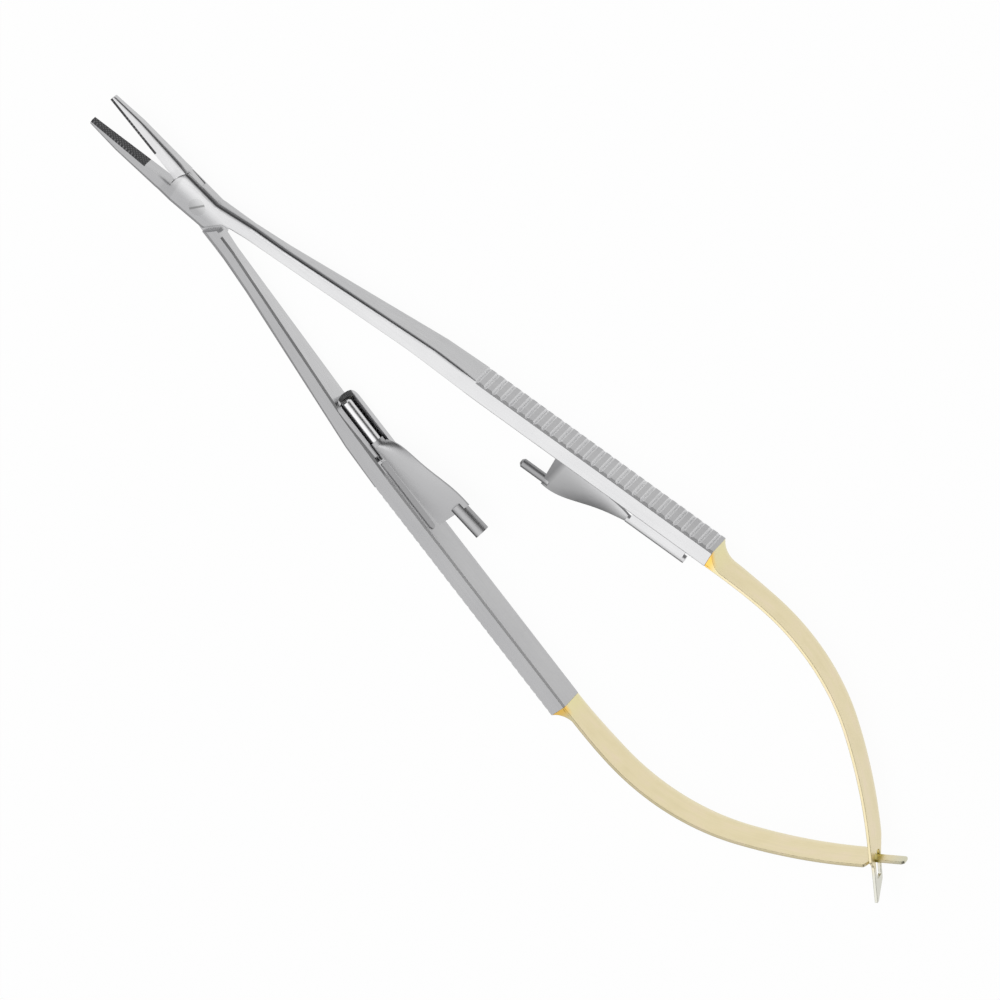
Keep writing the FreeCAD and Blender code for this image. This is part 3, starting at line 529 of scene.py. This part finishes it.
def soft_box(name, place, aim, size, power):
    data = bpy.data.lights.new(name, "AREA")
    data.shape = "RECTANGLE"
    data.size, data.size_y = size
    data.energy = power
    lamp = bpy.data.objects.new(name, data)
    bpy.context.scene.collection.objects.link(lamp)
    lamp.location = place
    direction = Vector(aim) - Vector(place)
    lamp.rotation_euler = direction.to_track_quat("-Z", "Y").to_euler()


def white_ground():
    """Pale table that the camera and reflections see white, apart from the tool's soft shadow."""
    mesh = bpy.data.meshes.new("table")
    reach = 3.0
    mesh.from_pydata([(-reach, -reach, 0.0), (reach, -reach, 0.0), (reach, reach, 0.0), (-reach, reach, 0.0)],
                     [], [(0, 1, 2, 3)])
    table = bpy.data.objects.new("table", mesh)
    bpy.context.scene.collection.objects.link(table)
    table.location.z = -0.00002
    material = bpy.data.materials.new("table white")
    n = Nodes(material)
    diffuse = n.add("ShaderNodeBsdfDiffuse")
    diffuse.inputs["Color"].default_value = (0.92, 0.92, 0.92, 1.0)
    glow = n.add("ShaderNodeEmission")
    glow.inputs["Color"].default_value = (1.0, 1.0, 1.0, 1.0)
    rays = n.add("ShaderNodeLightPath")
    seen = n.math("MAXIMUM", rays.outputs["Is Camera Ray"], rays.outputs["Is Glossy Ray"])
    seen = n.math("MAXIMUM", seen, rays.outputs["Is Transmission Ray"])
    share = n.math("MULTIPLY", seen, 0.95)
    mix = n.add("ShaderNodeMixShader")
    n.join(share, mix.inputs[0])
    n.join(diffuse.outputs[0], mix.inputs[1])
    n.join(glow.outputs[0], mix.inputs[2])
    n.join(mix.outputs[0], n.out.inputs["Surface"])
    mesh.materials.append(material)


def light_tent():
    """Light tent: bright overhead, a dim wall behind the tool, else dark just above the table, and white to
    the camera."""
    world = bpy.data.worlds.new("studio")
    bpy.context.scene.world = world
    world.use_nodes = True
    tree = world.node_tree
    tree.nodes.clear()
    out = tree.nodes.new("ShaderNodeOutputWorld")
    place = tree.nodes.new("ShaderNodeTexCoord")
    parts = tree.nodes.new("ShaderNodeSeparateXYZ")
    tree.links.new(place.outputs["Generated"], parts.inputs[0])
    ramp = tree.nodes.new("ShaderNodeValToRGB")
    ramp.color_ramp.interpolation = "EASE"
    stops = ((0.0, 0.05), (0.45, 0.07), (0.6, 0.25), (0.74, 1.05), (0.85, 1.3), (1.0, 1.35))
    while len(ramp.color_ramp.elements) < len(stops):
        ramp.color_ramp.elements.new(0.5)
    for element, (where, level) in zip(ramp.color_ramp.elements, stops):
        element.position = where
        element.color = (level, level, level, 1.0)
    tree.links.new(parts.outputs["Z"], ramp.inputs["Fac"])
    wall = tree.nodes.new("ShaderNodeVectorMath")
    wall.operation = "DOT_PRODUCT"
    wall.inputs[1].default_value = (0.0, -0.906, 0.423)
    tree.links.new(place.outputs["Generated"], wall.inputs[0])
    glow = tree.nodes.new("ShaderNodeMapRange")
    glow.interpolation_type = "SMOOTHSTEP"
    for key, number in (("From Min", 0.74), ("From Max", 0.97), ("To Min", 0.0), ("To Max", 0.5)):
        glow.inputs[key].default_value = number
    tree.links.new(wall.outputs["Value"], glow.inputs["Value"])
    total = tree.nodes.new("ShaderNodeMix")
    total.data_type = "RGBA"
    total.blend_type = "ADD"
    total.inputs[0].default_value = 1.0
    tree.links.new(ramp.outputs["Color"], total.inputs[6])
    tree.links.new(glow.outputs["Result"], total.inputs[7])
    light = tree.nodes.new("ShaderNodeBackground")
    tree.links.new(total.outputs[2], light.inputs["Color"])
    light.inputs["Strength"].default_value = 1.0
    white = tree.nodes.new("ShaderNodeBackground")
    white.inputs["Color"].default_value = (1.0, 1.0, 1.0, 1.0)
    white.inputs["Strength"].default_value = 1.0
    rays = tree.nodes.new("ShaderNodeLightPath")
    mix = tree.nodes.new("ShaderNodeMixShader")
    tree.links.new(rays.outputs["Is Camera Ray"], mix.inputs[0])
    tree.links.new(light.outputs[0], mix.inputs[1])
    tree.links.new(white.outputs[0], mix.inputs[2])
    tree.links.new(mix.outputs[0], out.inputs["Surface"])


bpy.context.scene.view_settings.view_transform = "Standard"
camera()
light_tent()
white_ground()
soft_box("key", (-0.5, 0.1, 0.8), (0.0, 0.0, 0.0), (0.4, 0.4), 0.9)

upper_steel = brushed_steel("steel of the box arm", (0.58, 0.58, 0.585), 0.24, ARM_HEADING,
                            (BOX_FRONT, GRIP_START - 2.6), (TIP_END, BOX_BACK))
lower_steel = brushed_steel("steel of the through arm", (0.62, 0.62, 0.625), 0.24, -ARM_HEADING,
                            (TIP_END, BOX_FRONT), (BOX_BACK, POCKET_START + 8.0))
catch_steel = polished_steel("steel of the catch", (0.42, 0.42, 0.425), 0.42, -ARM_HEADING)
pin_bright = polished_steel("steel of the catch pin", (0.78, 0.78, 0.785), 0.3, -ARM_HEADING)
keeper_steel = polished_steel("steel of the keeper", (0.55, 0.55, 0.555), 0.34, ARM_HEADING,
                              (0.3, 0.3, 0.305), 3.0)
dress("box_arm", upper_steel)
dress("through_arm", lower_steel)
dress("pivot_pin", pin_steel("steel of the joint pin", ARM_HEADING))
dress("lock_catch", catch_steel)
dress("catch_pin", pin_bright)
dress("catch_spring", catch_steel)
dress("lock_keeper", keeper_steel)
dress("lower_jaw_insert", cross_cut_insert("cross cut of the lower insert", ARM_HEADING))
dress("upper_jaw_insert", cross_cut_insert("cross cut of the upper insert", -ARM_HEADING))
fit_leaf_springs()
